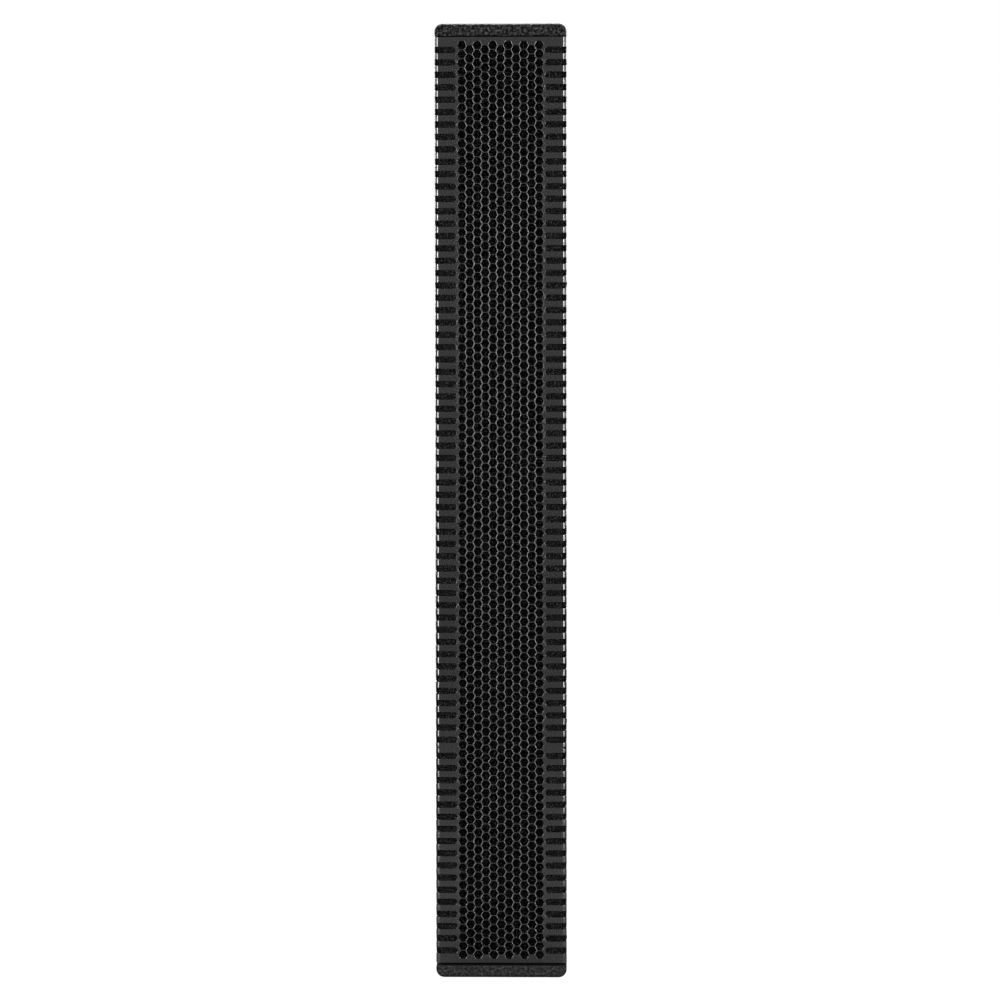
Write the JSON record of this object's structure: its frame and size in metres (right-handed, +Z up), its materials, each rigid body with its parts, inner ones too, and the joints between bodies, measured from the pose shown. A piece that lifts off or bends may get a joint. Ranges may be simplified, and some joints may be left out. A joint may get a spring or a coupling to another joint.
{
  "type": "powered column loudspeaker",
  "caption": "Slim free-standing column loudspeaker with a perforated wrap-round grille, rounded end caps, a powered rear panel, a carrying handle and pole and rigging points.",
  "frame": {"origin": "centre of the footprint, in the plane of the underside", "axes": "+Z up along the column, -Y out of the grille, +X to the right seen from the front"},
  "size_m": [0.1376, 0.1728, 1],
  "materials": {
    "cabinet_coating": "black rough textured coating over plywood",
    "plywood": "bare birch plywood",
    "grille_powder_coat": "dark grey satin powder coat",
    "grille_foam": "matte open-cell foam",
    "cast_basket": "black painted casting",
    "magnet_steel": "dark sintered magnet and blackened plates",
    "paper_cone": "treated paper",
    "titanium_dome": "thin bright metal",
    "moulded_plastic": "fine moulded texture",
    "socket_plastic": "smooth glass-filled plastic",
    "panel_paint": "black textured paint on steel",
    "heatsink": "black anodised",
    "zinc_steel": "zinc plated",
    "circuit_board": "green solder mask",
    "grip_rubber": "soft matte rubber",
    "cable_jacket": "satin jacket",
    "wadding": "fluffy polyester fibre"
  },
  "bodies": {
    "cabinet": {"top_panel": "cabinet_coating", "bottom_panel": "cabinet_coating", "left_side_panel": "cabinet_coating", "right_side_panel": "cabinet_coating", "rear_panel": "cabinet_coating", "front_baffle": "plywood", "lower_brace": "plywood", "upper_brace": "plywood", "front_grille": "grille_powder_coat", "grille_foam": "grille_foam", "woofer_1_basket": "cast_basket", "woofer_1_motor": "magnet_steel", "woofer_2_basket": "cast_basket", "woofer_2_motor": "magnet_steel", "woofer_3_basket": "cast_basket", "woofer_3_motor": "magnet_steel", "woofer_4_basket": "cast_basket", "woofer_4_motor": "magnet_steel", "woofer_5_basket": "cast_basket", "woofer_5_motor": "magnet_steel", "woofer_6_basket": "cast_basket", "woofer_6_motor": "magnet_steel", "hf_waveguide": "moulded_plastic", "hf_driver_lower": "magnet_steel", "hf_driver_upper": "magnet_steel", "amp_panel": "panel_paint", "amp_heatsink": "heatsink", "amp_chassis": "zinc_steel", "amp_board": "circuit_board", "input_board": "circuit_board", "mains_inlet": "moulded_plastic", "mains_outlet": "moulded_plastic", "power_switch_housing": "moulded_plastic", "input_socket_1": "socket_plastic", "input_socket_2": "socket_plastic", "link_socket": "socket_plastic", "handle_cup": "moulded_plastic", "handle_grip": "grip_rubber", "lower_rigging_plate": "panel_paint", "upper_rigging_plate": "panel_paint", "top_insert": "zinc_steel", "pole_socket": "panel_paint", "woofer_cable": "cable_jacket", "hf_cable": "cable_jacket", "damping_pad": "wadding"},
    "cone_1": {"woofer_1_cone": "paper_cone"},
    "cone_2": {"woofer_2_cone": "paper_cone"},
    "cone_3": {"woofer_3_cone": "paper_cone"},
    "cone_4": {"woofer_4_cone": "paper_cone"},
    "cone_5": {"woofer_5_cone": "paper_cone"},
    "cone_6": {"woofer_6_cone": "paper_cone"},
    "diaphragm_lower": {"hf_diaphragm_lower": "titanium_dome"},
    "diaphragm_upper": {"hf_diaphragm_upper": "titanium_dome"},
    "level_1": {"level_knob_1": "moulded_plastic"},
    "level_2": {"level_knob_2": "moulded_plastic"},
    "mode_key": {"mode_button": "moulded_plastic"},
    "rocker": {"power_rocker": "moulded_plastic"},
    "latch_1": {"input_latch_1": "zinc_steel"},
    "latch_2": {"input_latch_2": "zinc_steel"}
  },
  "joints": [
    {"name": "woofer_1_travel", "type": "slide", "parent": "cabinet", "child": "cone_1", "axis": [0, -1, 0], "range_m": [-0.004, 0.004], "stiffness_N_per_m": 1600},
    {"name": "woofer_2_travel", "type": "slide", "parent": "cabinet", "child": "cone_2", "axis": [0, -1, 0], "range_m": [-0.004, 0.004], "stiffness_N_per_m": 1600},
    {"name": "woofer_3_travel", "type": "slide", "parent": "cabinet", "child": "cone_3", "axis": [0, -1, 0], "range_m": [-0.004, 0.004], "stiffness_N_per_m": 1600},
    {"name": "woofer_4_travel", "type": "slide", "parent": "cabinet", "child": "cone_4", "axis": [0, -1, 0], "range_m": [-0.004, 0.004], "stiffness_N_per_m": 1600},
    {"name": "woofer_5_travel", "type": "slide", "parent": "cabinet", "child": "cone_5", "axis": [0, -1, 0], "range_m": [-0.004, 0.004], "stiffness_N_per_m": 1600},
    {"name": "woofer_6_travel", "type": "slide", "parent": "cabinet", "child": "cone_6", "axis": [0, -1, 0], "range_m": [-0.004, 0.004], "stiffness_N_per_m": 1600},
    {"name": "hf_lower_travel", "type": "slide", "parent": "cabinet", "child": "diaphragm_lower", "axis": [0, -1, 0], "range_m": [-0.0004, 0.0004], "stiffness_N_per_m": 20000},
    {"name": "hf_upper_travel", "type": "slide", "parent": "cabinet", "child": "diaphragm_upper", "axis": [0, -1, 0], "range_m": [-0.0004, 0.0004], "stiffness_N_per_m": 20000},
    {"name": "level_1_turn", "type": "hinge", "parent": "cabinet", "child": "level_1", "pos_m": [-0.031, 0.0766, 0.22], "axis": [0, -1, 0], "range_deg": [-140, 140]},
    {"name": "level_2_turn", "type": "hinge", "parent": "cabinet", "child": "level_2", "pos_m": [0, 0.0766, 0.22], "axis": [0, -1, 0], "range_deg": [-140, 140]},
    {"name": "mode_press", "type": "slide", "parent": "cabinet", "child": "mode_key", "axis": [0, -1, 0], "range_m": [0, 0.0015], "stiffness_N_per_m": 800},
    {"name": "power_rock", "type": "hinge", "parent": "cabinet", "child": "rocker", "pos_m": [0.031, 0.0712, 0.125], "axis": [1, 0, 0], "range_deg": [-20, 0]},
    {"name": "latch_1_press", "type": "slide", "parent": "cabinet", "child": "latch_1", "axis": [0, -1, 0], "range_m": [0, 0.002], "stiffness_N_per_m": 600},
    {"name": "latch_2_press", "type": "slide", "parent": "cabinet", "child": "latch_2", "axis": [0, -1, 0], "range_m": [0, 0.002], "stiffness_N_per_m": 600}
  ],
  "couplings": [
    {"joint": "woofer_2_travel", "follows": "woofer_1_travel", "ratio": 1},
    {"joint": "woofer_3_travel", "follows": "woofer_1_travel", "ratio": 1},
    {"joint": "woofer_4_travel", "follows": "woofer_1_travel", "ratio": 1},
    {"joint": "woofer_5_travel", "follows": "woofer_1_travel", "ratio": 1},
    {"joint": "woofer_6_travel", "follows": "woofer_1_travel", "ratio": 1},
    {"joint": "hf_upper_travel", "follows": "hf_lower_travel", "ratio": 1}
  ]
}
